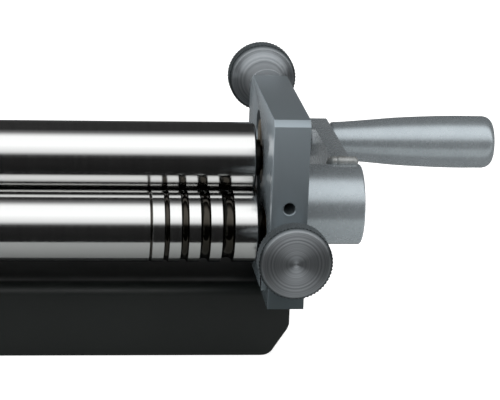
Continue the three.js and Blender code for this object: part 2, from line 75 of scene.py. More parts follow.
def middle(node):
    return (lowCorner(node) + highCorner(node)) / 2


# camera and stage

cameraSetup = {
    "place": (38.0, -925.2, 335.2),    # mm, in the frame's own axes
    "yaw": 6.80, "pitch": 15.96, "roll": 2.17,    # degrees: right, down, clockwise picture
    "lens": 165.7, "sensorWidth": 36,    # mm
    "nearest": 0.05, "farthest": 20,    # m, the range that is drawn
}


def makeCamera():
    data = bpy.data.cameras.new("studioCamera")
    data.lens = cameraSetup["lens"]
    data.sensor_width = cameraSetup["sensorWidth"]
    data.clip_start = cameraSetup["nearest"]
    data.clip_end = cameraSetup["farthest"]
    camera = bpy.data.objects.new("studioCamera", data)
    bpy.context.scene.collection.objects.link(camera)
    turn = (
        Matrix.Rotation(-math.radians(cameraSetup["yaw"]), 4, "Z")
        @ Matrix.Rotation(math.radians(90 - cameraSetup["pitch"]), 4, "X")
        @ Matrix.Rotation(math.radians(cameraSetup["roll"]), 4, "Z")
    )
    camera.matrix_world = Matrix.Translation(Vector(cameraSetup["place"]) * mm) @ turn
    bpy.context.scene.camera = camera


stageSetup = {
    "floorSize": 6.0,    # m
    "floorDrop": 0.2, "patchDrop": 0.1,    # mm under the feet
    "floorColour": "#c8c8c8", "floorGlow": 0.75,    # the glow keeps shadows faint
    "patchFront": 95, "patchSide": 900, "patchBack": 60,    # mm, the pale table edge that the metal mirrors
    "patchColour": "#a9acab", "roughness": 0.8,
    "ambient": 1.0, "mirroredTint": (0.985, 0.995, 1.0),
}

# what polished metal mirrors, by the angle round the X axis: 0 at the front, 90 overhead, 180 at the back
mirroredBands = [
    (-180, 0.20), (-90, 0.10), (-52, 0.05), (-44, 0.015), (8, 0.015), (17, 0.06), (28, 1.1),
    (50, 1.6), (80, 1.5), (96, 0.25), (108, 0.03), (150, 0.03), (168, 0.05), (180, 0.20),
]


def makePlane(name, low, high, height):
    mesh = bpy.data.meshes.new(name)
    corners = [(low[0], low[1]), (high[0], low[1]), (high[0], high[1]), (low[0], high[1])]
    mesh.from_pydata([(x, y, height) for x, y in corners], [], [(0, 1, 2, 3)])
    plane = bpy.data.objects.new(name, mesh)
    bpy.context.scene.collection.objects.link(plane)
    return plane


def makeWorld():
    world = bpy.data.worlds.new("studio")
    bpy.context.scene.world = world
    world.use_nodes = True
    tree = world.node_tree
    tree.nodes.clear()
    place = addNode(tree, "ShaderNodeTexCoord")
    parts = addNode(tree, "ShaderNodeSeparateXYZ", {0: place.outputs["Generated"]})
    ahead = addNode(tree, "ShaderNodeMath", {0: parts.outputs["Y"], 1: -1.0}, operation="MULTIPLY")
    angle = addNode(tree, "ShaderNodeMath", {0: parts.outputs["Z"], 1: ahead.outputs[0]}, operation="ARCTAN2")
    share = addNode(tree, "ShaderNodeMapRange",
                    {"Value": angle.outputs[0], "From Min": -math.pi, "From Max": math.pi})
    ramp = addNode(tree, "ShaderNodeValToRGB", {"Fac": share.outputs["Result"]})
    stops = ramp.color_ramp.elements
    brightest = max(level for _, level in mirroredBands)
    for degrees, _ in mirroredBands[1:-1]:
        stops.new((degrees + 180) / 360)
    for stop, (_, level) in zip(stops, mirroredBands):
        stop.color = [level / brightest * tint for tint in stageSetup["mirroredTint"]] + [1]
    mirrored = addNode(tree, "ShaderNodeBackground", {"Color": ramp.outputs["Color"], "Strength": brightest})
    plain = addNode(tree, "ShaderNodeBackground",
                    {"Color": (1, 1, 1, 1), "Strength": stageSetup["ambient"]})
    rays = addNode(tree, "ShaderNodeLightPath")
    mix = addNode(tree, "ShaderNodeMixShader",
                  {0: rays.outputs["Is Glossy Ray"], 1: plain.outputs[0], 2: mirrored.outputs[0]})
    addNode(tree, "ShaderNodeOutputWorld", {"Surface": mix.outputs[0]})


def plainMaterial(name, hexColour, roughness):
    material = bpy.data.materials.new(name)
    material.use_nodes = True
    shader = material.node_tree.nodes["Principled BSDF"]
    shader.inputs["Base Color"].default_value = toLinear(hexColour)
    shader.inputs["Roughness"].default_value = roughness
    return material


def makeStage():
    half = stageSetup["floorSize"] / 2
    floor = makePlane("studioFloor", (-half, -half), (half, half), -stageSetup["floorDrop"] * mm)
    pale = plainMaterial("paleFloor", stageSetup["floorColour"], stageSetup["roughness"])
    glow = pale.node_tree.nodes["Principled BSDF"].inputs
    glow["Emission Color"].default_value = (1, 1, 1, 1)
    glow["Emission Strength"].default_value = stageSetup["floorGlow"]
    floor.data.materials.append(pale)
    floor.visible_glossy = False
    side, front, back = (stageSetup[key] * mm for key in ("patchSide", "patchFront", "patchBack"))
    card = makePlane("tableEdge", (-side, -front), (side, back), -stageSetup["patchDrop"] * mm)
    paint = plainMaterial("paleTableEdge", stageSetup["patchColour"], stageSetup["roughness"])
    card.data.materials.append(paint)
    card.visible_camera = False
    card.visible_diffuse = False
    card.visible_shadow = False


softLights = [
    {"name": "overheadSoftbox", "place": (-0.1, -1.1, 0.75), "aim": (0.05, 0.0, 0.06),
     "size": (1.8, 0.8), "watts": 8},
    {"name": "backSoftbox", "place": (0.3, 1.2, 0.9), "aim": (0.05, 0.0, 0.06),
     "size": (1.2, 0.8), "watts": 2},
]


def makeLights():
    for light in softLights:
        data = bpy.data.lights.new(light["name"], "AREA")
        data.shape = "RECTANGLE"
        data.size, data.size_y = light["size"]
        data.energy = light["watts"]
        lamp = bpy.data.objects.new(light["name"], data)
        lamp.location = light["place"]
        direction = Vector(light["aim"]) - Vector(light["place"])
        lamp.rotation_euler = direction.to_track_quat("-Z", "Y").to_euler()
        lamp.visible_glossy = False
        bpy.context.scene.collection.objects.link(lamp)


makeCamera()
makeWorld()
makeStage()
makeLights()
bpy.context.scene.view_settings.view_transform = "Standard"
print("camera, lights and floor ready")


# materials

def startMaterial(name, hexColour, metallic, roughness):
    material = bpy.data.materials.new(name)
    material.use_nodes = True
    tree = material.node_tree
    shader = tree.nodes["Principled BSDF"]
    shader.inputs["Base Color"].default_value = toLinear(hexColour)
    shader.inputs["Metallic"].default_value = metallic
    shader.inputs["Roughness"].default_value = roughness
    place = addNode(tree, "ShaderNodeTexCoord")
    return material, tree, shader, place.outputs["Object"]


# noise drawn in lumps of a given size in mm, stretched along the axes given by squeeze
def lumps(tree, place, size, squeeze=(1, 1, 1), detail=3.0):
    spread = addNode(tree, "ShaderNodeMapping", {"Vector": place, "Scale": squeeze})
    return addNode(tree, "ShaderNodeTexNoise",
                   {"Vector": spread.outputs[0], "Scale": 1 / (size * mm), "Detail": detail}).outputs["Fac"]


def spreadTo(tree, value, low, high, fromLow=0.3, fromHigh=0.7):
    return addNode(tree, "ShaderNodeMapRange", {
        "Value": value, "From Min": fromLow, "From Max": fromHigh, "To Min": low, "To Max": high,
    }).outputs["Result"]


def tintBetween(tree, shader, value, hexLow, hexHigh):
    mix = addNode(tree, "ShaderNodeMix", {0: value, 6: toLinear(hexLow), 7: toLinear(hexHigh)},
                  data_type="RGBA")
    tree.links.new(mix.outputs[2], shader.inputs["Base Color"])


def addBump(tree, shader, height, depth):
    bump = addNode(tree, "ShaderNodeBump", {"Height": height, "Strength": 1.0, "Distance": depth * mm})
    tree.links.new(bump.outputs["Normal"], shader.inputs["Normal"])


# the lathe leaves rings round the axis, so highlights spread along it
def addRoundTangent(tree, shader, place, centre, axis, amount):
    arm = addNode(tree, "ShaderNodeVectorMath", {0: place, 1: Vector(centre) * mm}, operation="SUBTRACT")
    around = addNode(tree, "ShaderNodeVectorMath", {0: axis, 1: arm.outputs[0]}, operation="CROSS_PRODUCT")
    world = addNode(tree, "ShaderNodeVectorTransform", {0: around.outputs[0]},
                    vector_type="VECTOR", convert_from="OBJECT", convert_to="WORLD")
    tree.links.new(world.outputs[0], shader.inputs["Tangent"])
    shader.inputs["Anisotropic"].default_value = amount
    shader.inputs["Anisotropic Rotation"].default_value = 0.25    # a quarter turn, across the rings


# stoved black enamel on folded steel: deep black, low gloss, a fine orange peel
def blackEnamel():
    material, tree, shader, place = startMaterial("blackEnamel", "#0e1110", 0.0, 0.42)
    shader.inputs["Specular IOR Level"].default_value = 0.4
    tintBetween(tree, shader, lumps(tree, place, 60), "#0b0e0d", "#121514")
    tree.links.new(spreadTo(tree, lumps(tree, place, 14), 0.36, 0.48), shader.inputs["Roughness"])
    addBump(tree, shader, lumps(tree, place, 1.6, detail=1.0), 0.02)
    return material


# surface-ground steel plate: cool grey, painted darker towards the base as painted shade; its inner faces lie
# smooth under oil
def groundPlate():
    material, tree, shader, place = startMaterial("groundPlate", "#7f898f", 0.5, 0.38)
    parts = addNode(tree, "ShaderNodeSeparateXYZ", {0: place})
    # painted shade: the tint runs from dark at the base top to light at the plate top
    height = spreadTo(tree, parts.outputs["Z"], 0, 1, 30 * mm, 115 * mm)    # from base top to plate top
    tintBetween(tree, shader, height, "#3c4447", "#8e989e")
    marks = lumps(tree, place, 0.5, squeeze=(1, 1, 0.06), detail=2.0)    # real marks are finer than this
    addBump(tree, shader, marks, 0.003)
    across = addNode(tree, "ShaderNodeMath", {0: parts.outputs["X"]}, operation="ABSOLUTE")
    inner = lowCorner("end_plate_right").x
    outside = spreadTo(tree, across.outputs[0], 0, 1, (inner + 0.1) * mm, (inner + 0.3) * mm)
    tree.links.new(spreadTo(tree, outside, 0.24, 0.31, 0, 1), shader.inputs["Roughness"])
    tree.links.new(spreadTo(tree, outside, 0.2, 0.65, 0, 1), shader.inputs["Metallic"])
    return material


# distance from an axis through centre; flatten is 0 along that axis and 1 across it
def distanceFrom(tree, place, centre, flatten):
    spoke = addNode(tree, "ShaderNodeVectorMath", {0: place, 1: Vector(centre) * mm}, operation="SUBTRACT")
    flat = addNode(tree, "ShaderNodeVectorMath", {0: spoke.outputs[0], 1: flatten}, operation="MULTIPLY")
    reach = addNode(tree, "ShaderNodeVectorMath", {0: flat.outputs[0]}, operation="LENGTH")
    return reach.outputs["Value"]


# ground and polished roll steel: close to a mirror, faint rings left by the grinder, groove floors painted
# dark as painted shade
def polishedRoll(centre):
    material, tree, shader, place = startMaterial("polishedRoll", "#d3d3d2", 1.0, 0.13)
    skin = rollShape["radius"]
    reach = distanceFrom(tree, place, centre, (0, 1, 1))
    outside = spreadTo(tree, reach, 0, 1, (skin - 0.4) * mm, (skin - 0.1) * mm)
    # painted shade: the groove floors, below the roll's skin, take the dark colour
    tintBetween(tree, shader, outside, "#3b3833", "#d3d3d2")
    rings = lumps(tree, place, 1.2, squeeze=(1, 0.05, 0.05), detail=2.0)
    tree.links.new(spreadTo(tree, rings, 0.11, 0.17), shader.inputs["Roughness"])
    addRoundTangent(tree, shader, place, centre, (1, 0, 0), 0.4)
    return material


# turned steel knob: rings from the tool and the bright hourglass they give, the knurled rim painted darker as
# painted shade
def turnedKnob(centre):
    material, tree, shader, place = startMaterial("turnedKnob", "#a6adb2", 0.95, 0.4)
    skin = knobShape["rimRadius"]
    reach = distanceFrom(tree, place, centre, (1, 0, 1))
    rings = addNode(tree, "ShaderNodeTexNoise", {"W": reach, "Scale": 1 / (0.7 * mm), "Detail": 3.0},
                    noise_dimensions="1D").outputs["Fac"]    # feed marks, drawn wider than the tool's 0.1 mm
    tint = addNode(tree, "ShaderNodeMix", {0: rings, 6: toLinear("#7f868c"), 7: toLinear("#d6dadd")},
                   data_type="RGBA")
    # painted shade: the knurled rim and its chamfers are drawn darker than the face
    rim = spreadTo(tree, reach, 0, 1, (skin - 1.4) * mm, (skin - 0.7) * mm)
    rimShaded = addNode(tree, "ShaderNodeMix", {0: rim, 6: tint.outputs[2], 7: toLinear("#666c6f")},
                   data_type="RGBA")
    tree.links.new(rimShaded.outputs[2], shader.inputs["Base Color"])
    tree.links.new(spreadTo(tree, rings, 0.34, 0.5), shader.inputs["Roughness"])
    addRoundTangent(tree, shader, place, centre, (0, 1, 0), 0.95)
    return material


# fine-turned and satin-finished machine handle and hub: soft, even, faintly grainy
def satinCrank():
    material, tree, shader, place = startMaterial("satinCrank", "#a2aaae", 0.68, 0.26)
    tintBetween(tree, shader, lumps(tree, place, 9), "#9ba3a8", "#aab2b6")
    tree.links.new(spreadTo(tree, lumps(tree, place, 3), 0.24, 0.3), shader.inputs["Roughness"])
    return material


# weld metal left as it cooled: dull, lumpy, a little heat tint
def weldMetal():
    material, tree, shader, place = startMaterial("weldMetal", "#8b8d8b", 0.6, 0.42)
    tintBetween(tree, shader, lumps(tree, place, 2.5), "#7c7d7a", "#b0b3b3")
    addBump(tree, shader, lumps(tree, place, 0.8), 0.06)
    return material


# bearing bronze, bored and oiled: warm, slightly dark
def bearingBronze():
    material, tree, shader, place = startMaterial("bearingBronze", "#9c8457", 1.0, 0.3)
    tintBetween(tree, shader, lumps(tree, place, 4), "#8a744b", "#ab9263")
    tree.links.new(spreadTo(tree, lumps(tree, place, 1.0), 0.24, 0.36), shader.inputs["Roughness"])
    return material


# black-oxide socket screws: near black with an oily sheen
def blackOxide():
    material, tree, shader, place = startMaterial("blackOxide", "#3a3b3d", 0.8, 0.42)
    tintBetween(tree, shader, lumps(tree, place, 2), "#303133", "#434447")
    tree.links.new(spreadTo(tree, lumps(tree, place, 0.8), 0.36, 0.5), shader.inputs["Roughness"])
    return material


# bright turned steel rods, nuts and washers
def brightSteel():
    material, tree, shader, place = startMaterial("brightSteel", "#b6b8b9", 1.0, 0.28)
    tintBetween(tree, shader, lumps(tree, place, 3), "#abadaf", "#bfc1c2")
    tree.links.new(spreadTo(tree, lumps(tree, place, 0.8), 0.22, 0.34), shader.inputs["Roughness"])
    return material


# milled gear steel under a film of grease
def gearSteel():
    material, tree, shader, place = startMaterial("gearSteel", "#86888a", 1.0, 0.34)
    tintBetween(tree, shader, lumps(tree, place, 3), "#77797b", "#949698")
    tree.links.new(spreadTo(tree, lumps(tree, place, 1.2), 0.26, 0.44), shader.inputs["Roughness"])
    return material


enamel = blackEnamel()
plateSteel = groundPlate()
crankSteel = satinCrank()
weldSteel = weldMetal()
bronze = bearingBronze()
darkScrew = blackOxide()
rodSteel = brightSteel()
wheelSteel = gearSteel()
print("materials ready")


# mesh making, in mm

# points on a curve that leaves start towards bend and comes into end from it
def curvePoints(start, bend, end, steps):
    result = []
    for k in range(steps + 1):
        t = k / steps
        result.append(tuple(start * (1 - t) ** 2 + bend * 2 * t * (1 - t) + end * t ** 2))
    return result


# rounds the corners of a profile or outline so that every edge catches a little light
def softened(points, radius, steps=3, closed=False, keep=()):
    result = []
    count = len(points)
    for i, point in enumerate(points):
        here = Vector(point)
        if (not closed and i in (0, count - 1)) or i in keep:
            result.append(tuple(here))
            continue
        before = Vector(points[i - 1])
        after = Vector(points[(i + 1) % count])
        reach = min(radius, (here - before).length * 0.45, (after - here).length * 0.45)
        start = here + (before - here).normalized() * reach
        end = here + (after - here).normalized() * reach
        result += curvePoints(start, here, end, steps)
    return result


def shadeEdges(mesh, sharpAngle=32):
    mesh.shade_smooth()
    mesh.set_sharp_from_angle(angle=math.radians(sharpAngle))


def linkMesh(name, verts, faces, sharpAngle=32):
    mesh = bpy.data.meshes.new(name)
    mesh.from_pydata([Vector(v) * mm for v in verts], [], faces)
    sculpt = bmesh.new()
    sculpt.from_mesh(mesh)
    bmesh.ops.remove_doubles(sculpt, verts=sculpt.verts, dist=0.002 * mm)
    bmesh.ops.recalc_face_normals(sculpt, faces=sculpt.faces)
    sculpt.to_mesh(mesh)
    sculpt.free()
    shadeEdges(mesh, sharpAngle)
    piece = bpy.data.objects.new(name, mesh)
    bpy.context.scene.collection.objects.link(piece)
    return piece


axisTurns = {
    "X": Matrix(((0, 0, 1), (1, 0, 0), (0, 1, 0))),
    "Y": Matrix(((0, 1, 0), (0, 0, 1), (1, 0, 0))),
    "-Y": Matrix(((1, 0, 0), (0, 0, -1), (0, 1, 0))),
    "Z": Matrix.Identity(3),
    "-X": Matrix(((0, 0, -1), (0, 1, 0), (1, 0, 0))),
}


# turns a profile of (radius, place along the axis) round an axis through origin
def lathe(name, profile, origin=(0, 0, 0), axis="X", sides=96, sharpAngle=32):
    turn = axisTurns[axis]
    loop = len(profile) > 2 and (Vector(profile[0]) - Vector(profile[-1])).length < 1e-6
    points = profile[:-1] if loop else profile
    verts = []
    rings = []
    for radius, along in points:
        if radius < 1e-6:
            rings.append([len(verts)])
            verts.append(turn @ Vector((0, 0, along)) + Vector(origin))
            continue
        rings.append(list(range(len(verts), len(verts) + sides)))
        for k in range(sides):
            angle = 2 * math.pi * k / sides
            spot = Vector((radius * math.cos(angle), radius * math.sin(angle), along))
            verts.append(turn @ spot + Vector(origin))
    faces = []
    pairs = list(zip(rings, rings[1:])) + ([(rings[-1], rings[0])] if loop else [])
    for low, high in pairs:
        for k in range(sides):
            n = (k + 1) % sides
            if len(low) == 1 and len(high) == 1:
                continue
            if len(low) == 1:
                faces.append((low[0], high[n], high[k]))
            elif len(high) == 1:
                faces.append((low[k], low[n], high[0]))
            else:
                faces.append((low[k], low[n], high[n], high[k]))
    return linkMesh(name, verts, faces, sharpAngle)


# gives an outline a thickness along X (outline in y, z), Y (x, z) or Z (x, y)
def prism(name, outline, start, end, axis="X"):
    def spot(a, b, along):
        return {"X": (along, a, b), "Y": (a, along, b), "Z": (a, b, along)}[axis]

    count = len(outline)
    verts = [spot(a, b, start) for a, b in outline] + [spot(a, b, end) for a, b in outline]
    faces = [tuple(range(count)), tuple(range(2 * count - 1, count - 1, -1))]
    faces += [(k, (k + 1) % count, count + (k + 1) % count, count + k) for k in range(count)]
    return linkMesh(name, verts, faces)


def arcPoints(centre, radius, fromDegrees, toDegrees, steps):
    result = []
    for k in range(steps + 1):
        angle = math.radians(fromDegrees + (toDegrees - fromDegrees) * k / steps)
        result.append((centre[0] + radius * math.cos(angle), centre[1] + radius * math.sin(angle)))
    return result


# a slot outline with round ends
def slotOutline(a, b, radius, steps=24):
    lean = math.degrees(math.atan2(b[1] - a[1], b[0] - a[0]))
    endB = arcPoints(b, radius, lean - 90, lean + 90, steps)
    endA = arcPoints(a, radius, lean + 90, lean + 270, steps)
    return endB + endA


def settle(piece):
    graph = bpy.context.evaluated_depsgraph_get()
    mesh = bpy.data.meshes.new_from_object(piece.evaluated_get(graph))
    piece.modifiers.clear()
    piece.data = mesh
    return piece


def roundEdges(piece, width, segments):
    bevel = piece.modifiers.new("softEdges", "BEVEL")
    bevel.width = width * mm
    bevel.segments = segments
    bevel.limit_method = "ANGLE"
    bevel.angle_limit = math.radians(38)
    settle(piece)


# cuts the tools out of a piece, then rounds its sharp edges
def carve(piece, tools, edge=0.35, segments=2):
    for index, tool in enumerate(tools):
        cutter = piece.modifiers.new(f"cut{index}", "BOOLEAN")
        cutter.operation = "DIFFERENCE"
        cutter.solver = "EXACT"
        cutter.object = tool
    settle(piece)
    for tool in tools:
        bpy.data.objects.remove(tool, do_unlink=True)
    if edge:
        roundEdges(piece, edge, segments)
    shadeEdges(piece.data)
    return piece


def joined(name, pieces):
    sculpt = bmesh.new()
    for piece in pieces:
        sculpt.from_mesh(piece.data)
        bpy.data.objects.remove(piece, do_unlink=True)
    mesh = bpy.data.meshes.new(name)
    sculpt.to_mesh(mesh)
    sculpt.free()
    shadeEdges(mesh)
    whole = bpy.data.objects.new(name, mesh)
    bpy.context.scene.collection.objects.link(whole)
    return whole


def hand(piece, body, material, slot, *nodes):
    piece.data.materials.clear()
    piece.data.materials.append(material)
    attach(piece, body)
    if nodes:
        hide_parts(*nodes)


def sideName(side):
    return "right" if side > 0 else "left"


def outwards(side):
    return "X" if side > 0 else "-X"


def innerFace(node, side):
    return lowCorner(node).x if side > 0 else highCorner(node).x


# geometry nodes

def startTree(name, sizes):
    tree = bpy.data.node_groups.new(name, "GeometryNodeTree")
    tree.is_modifier = True
    tree.interface.new_socket("Geometry", in_out="INPUT", socket_type="NodeSocketGeometry")
    for key, kind in sizes.items():
        tree.interface.new_socket(key, in_out="INPUT", socket_type=kind)
    tree.interface.new_socket("Geometry", in_out="OUTPUT", socket_type="NodeSocketGeometry")
    return tree, addNode(tree, "NodeGroupInput").outputs


def runTree(name, tree, values, source=None):
    mesh = source or bpy.data.meshes.new(name)
    piece = bpy.data.objects.new(name, mesh)
    bpy.context.scene.collection.objects.link(piece)
    nodes = piece.modifiers.new("build", "NODES")
    nodes.node_group = tree
    for item in tree.interface.items_tree:
        if item.in_out == "INPUT" and item.name in values:
            nodes[item.identifier] = values[item.name]
    return settle(piece)


# a flat grid one unit wide, which wrapRound bends round +Z, with its places and its angle round +Z
def flatSkin(tree, length, columns, rows):
    grid = addNode(tree, "GeometryNodeMeshGrid", {
        "Size X": 1.0, "Size Y": length, "Vertices X": columns, "Vertices Y": rows,
    })
    place = addNode(tree, "GeometryNodeInputPosition")
    parts = addNode(tree, "ShaderNodeSeparateXYZ", {0: place.outputs[0]})
    angle = addNode(tree, "ShaderNodeMath", {0: parts.outputs["X"], 1: 2 * math.pi}, operation="MULTIPLY")
    return grid.outputs["Mesh"], parts.outputs, angle.outputs[0]


def wrapRound(tree, grid, angle, along, reach):
    spot = []
    for way in ("COSINE", "SINE"):
        turned = addNode(tree, "ShaderNodeMath", {0: angle}, operation=way)
        scaled = addNode(tree, "ShaderNodeMath", {0: turned.outputs[0], 1: reach}, operation="MULTIPLY")
        spot.append(scaled.outputs[0])
    moved = addNode(tree, "ShaderNodeCombineXYZ", {"X": spot[0], "Y": spot[1], "Z": along})
    wrapped = addNode(tree, "GeometryNodeSetPosition", {"Geometry": grid, "Position": moved.outputs[0]})
    welded = addNode(tree, "GeometryNodeMergeByDistance",
                     {"Geometry": wrapped.outputs[0], "Distance": 0.005 * mm})
    return welded.outputs[0]


def endTree(tree, shape, steel):
    real = addNode(tree, "GeometryNodeRealizeInstances", {"Geometry": shape})
    painted = addNode(tree, "GeometryNodeSetMaterial", {"Geometry": real.outputs[0], "Material": steel})
    addNode(tree, "NodeGroupOutput", {0: painted.outputs[0]})
    return tree


knurlGrid = {"pointsPerRidge": 8, "rows": 29, "crest": 0.7}    # waves over the crest's height are worn flat


# a band wrapped round +Z whose skin rises in crossed spiral ridges
def knurlTree():
    tree, inputs = startTree("knurledBand", {
        "Radius": "NodeSocketFloat", "Width": "NodeSocketFloat", "Depth": "NodeSocketFloat",
        "Ridges": "NodeSocketInt", "Slope": "NodeSocketFloat", "Steel": "NodeSocketMaterial",
    })
    around = addNode(tree, "ShaderNodeMath", {0: inputs["Ridges"], 1: knurlGrid["pointsPerRidge"]},
                     operation="MULTIPLY")
    band, parts, angle = flatSkin(tree, inputs["Width"], around.outputs[0], knurlGrid["rows"])
    climb = addNode(tree, "ShaderNodeMath", {0: parts["Y"], 1: inputs["Slope"]}, operation="MULTIPLY")
    waves = []
    for way in ("ADD", "SUBTRACT"):
        lean = addNode(tree, "ShaderNodeMath", {0: angle, 1: climb.outputs[0]}, operation=way)
        turns = addNode(tree, "ShaderNodeMath", {0: lean.outputs[0], 1: inputs["Ridges"]},
                        operation="MULTIPLY")
        wave = addNode(tree, "ShaderNodeMath", {0: turns.outputs[0]}, operation="COSINE")
        waves.append(wave.outputs[0])
    lower = addNode(tree, "ShaderNodeMath", {0: waves[0], 1: waves[1]}, operation="MINIMUM")
    rise = spreadTo(tree, lower.outputs[0], 0.0, 1.0, -1.0, knurlGrid["crest"])
    sunk = addNode(tree, "ShaderNodeMath", {0: rise, 1: -1.0}, operation="ADD")
    depth = addNode(tree, "ShaderNodeMath", {0: sunk.outputs[0], 1: inputs["Depth"]}, operation="MULTIPLY")
    reach = addNode(tree, "ShaderNodeMath", {0: inputs["Radius"], 1: depth.outputs[0]}, operation="ADD")
    return endTree(tree, wrapRound(tree, band, angle, parts["Y"], reach.outputs[0]), inputs["Steel"])


threadGrid = {"columns": 49, "crest": 0.08, "root": 0.45}    # where the slant starts and ends, in pitches


# a rod round +Z with a real spiral thread
def threadTree():
    tree, inputs = startTree("threadedRod", {
        "Radius": "NodeSocketFloat", "Length": "NodeSocketFloat", "Pitch": "NodeSocketFloat",
        "Depth": "NodeSocketFloat", "Rows": "NodeSocketInt", "Steel": "NodeSocketMaterial",
    })
    skin, parts, angle = flatSkin(tree, inputs["Length"], threadGrid["columns"], inputs["Rows"])
    climb = addNode(tree, "ShaderNodeMath", {0: parts["Y"], 1: inputs["Pitch"]}, operation="DIVIDE")
    shift = addNode(tree, "ShaderNodeMath", {0: climb.outputs[0], 1: parts["X"]}, operation="SUBTRACT")
    wave = addNode(tree, "ShaderNodeMath", {0: shift.outputs[0], 1: 0.5}, operation="PINGPONG")
    groove = spreadTo(tree, wave.outputs[0], 0.0, 1.0, threadGrid["crest"], threadGrid["root"])
    depth = addNode(tree, "ShaderNodeMath", {0: groove, 1: inputs["Depth"]}, operation="MULTIPLY")
    reach = addNode(tree, "ShaderNodeMath", {0: inputs["Radius"], 1: depth.outputs[0]}, operation="SUBTRACT")
    return endTree(tree, wrapRound(tree, skin, angle, parts["Y"], reach.outputs[0]), inputs["Steel"])


# copies of one screw, set at the points of the incoming mesh
def screwSetTree():
    tree, inputs = startTree("screwSet", {"Screw": "NodeSocketObject", "Steel": "NodeSocketMaterial"})
    source = addNode(tree, "GeometryNodeObjectInfo", {"Object": inputs["Screw"], "As Instance": True})
    points = addNode(tree, "GeometryNodeMeshToPoints", {"Mesh": inputs["Geometry"]})
    copies = addNode(tree, "GeometryNodeInstanceOnPoints",
                     {"Points": points.outputs[0], "Instance": source.outputs["Geometry"]})
    return endTree(tree, copies.outputs[0], inputs["Steel"])


# a weld bead: overlapping ripples at the points of the incoming mesh, varied a little from a fixed seed
def beadTree():
    tree, inputs = startTree("weldBead", {
        "Ripple": "NodeSocketFloat", "Seed": "NodeSocketInt", "Steel": "NodeSocketMaterial",
    })
    points = addNode(tree, "GeometryNodeMeshToPoints", {"Mesh": inputs["Geometry"]})
    ripple = addNode(tree, "GeometryNodeMeshIcoSphere", {"Radius": inputs["Ripple"], "Subdivisions": 3})
    size = addNode(tree, "FunctionNodeRandomValue", {2: 0.85, 3: 1.2, "Seed": inputs["Seed"]},
                   data_type="FLOAT")
    copies = addNode(tree, "GeometryNodeInstanceOnPoints", {
        "Points": points.outputs[0], "Instance": ripple.outputs["Mesh"], "Scale": size.outputs[1],
    })
    return endTree(tree, copies.outputs[0], inputs["Steel"])


screwSet = screwSetTree()
knurledBand = knurlTree()
threadedRod = threadTree()
weldRipples = beadTree()


def pointMesh(name, places):
    mesh = bpy.data.meshes.new(name)
    mesh.from_pydata([Vector(p) * mm for p in places], [], [])
    return mesh


def moveMesh(piece, axis, origin=(0, 0, 0)):
    turn = axisTurns[axis].to_4x4()
    piece.data.transform(Matrix.Translation(Vector(origin) * mm) @ turn)


past = 2    # mm, how far a cutter starts and ends outside the metal


# a plain round cutter from start to end along an axis through origin
def drill(radius, start, end, origin, axis="X", sides=40):
    return lathe("drillTool", [(0, start), (radius, start), (radius, end), (0, end)], origin, axis, sides)


def rectangle(halfWide, halfHigh):
    return [(-halfWide, -halfHigh), (halfWide, -halfHigh), (halfWide, halfHigh), (-halfWide, halfHigh)]


# a ring with rounded corners
def ringProfile(bore, radius, start, end, corner, steps):
    profile = softened([(bore, start), (radius, start), (radius, end), (bore, end)], corner, steps, True)
    return profile + profile[:1]


# base

basePan = {
    "wall": 4, "bend": 5, "edge": 0.5, "holeRadius": 3.3, "holeDepth": 8,
    "cornerWidth": 12, "cornerHeight": 13, "cornerCurve": ((4, 0), (5.5, 3)), "cutterPast": 3,
}


# what is cut off a lower corner: a curve up from the foot, then a straight slant to the end
def cornerOutline(low, high):
    clear = basePan["cutterPast"]
    start, top = high.x - basePan["cornerWidth"], low.z + basePan["cornerHeight"]
    foot = Vector((start, low.z))
    bend, rise = (foot + Vector(step) for step in basePan["cornerCurve"])
    outline = [(start, low.z - clear)] + curvePoints(foot, bend, rise, 6)
    outline += [(high.x - 0.8, top - 1.2), (high.x, top + 1)]
    outline += [(high.x + clear, top + 1), (high.x + clear, low.z - clear)]
    return outline


def makeBase():
    low, high = lowCorner("base_channel"), highCorner("base_channel")
    wall, bend = basePan["wall"], basePan["bend"]
    front, back = (low.y + bend, high.z - bend), (high.y - bend, high.z - bend)
    section = [(low.y, low.z), (low.y + wall, low.z)]
    section += arcPoints(front, bend - wall, 180, 90, 4) + arcPoints(back, bend - wall, 90, 0, 4)
    section += [(high.y - wall, low.z), (high.y, low.z)]
    section += arcPoints(back, bend, 0, 90, 10) + arcPoints(front, bend, 90, 180, 10)
    pan = prism("foldedBase", section, low.x, high.x)
    clear, corner = basePan["cutterPast"], cornerOutline(low, high)
    tools = []
    for way in (-1, 1):
        outline = [(way * x, z) for x, z in corner]
        tools.append(prism("cornerTool", outline, low.y - clear, high.y + clear, "Y"))
    for side in (-1, 1):
        for place in ("front", "back"):
            spot = middle(f"base_screw_{sideName(side)}_{place}")
            tools.append(drill(basePan["holeRadius"], high.z - basePan["holeDepth"], high.z + clear,
                               (spot.x, spot.y, 0), "Z", 32))
    carve(pan, tools, basePan["edge"])
    hand(pan, "frame_body", enamel, "black_paint", "base_channel")


# screws

baseScrew = {"headRadius": 5, "headLength": 6, "radius": 3, "socket": 2.9}
plateGrub = {"headRadius": 2.05, "headLength": 9, "radius": 1.5, "length": 1, "socket": 1.25}
crankGrub = {"headRadius": 3, "headLength": 9, "radius": 2.2, "length": 0.4, "socket": 1.7}
keeperScrew = {"headRadius": 3.4, "headDepth": 1.6, "radius": 1.8, "length": 8.6, "slotWidth": 0.9}
coverScrew = {"headRadius": 3.5, "headLength": 2.4, "radius": 1.8, "end": 31.7,
              "crossReach": 1.9, "crossHalfWidth": 0.4, "crossDepth": 1.2}


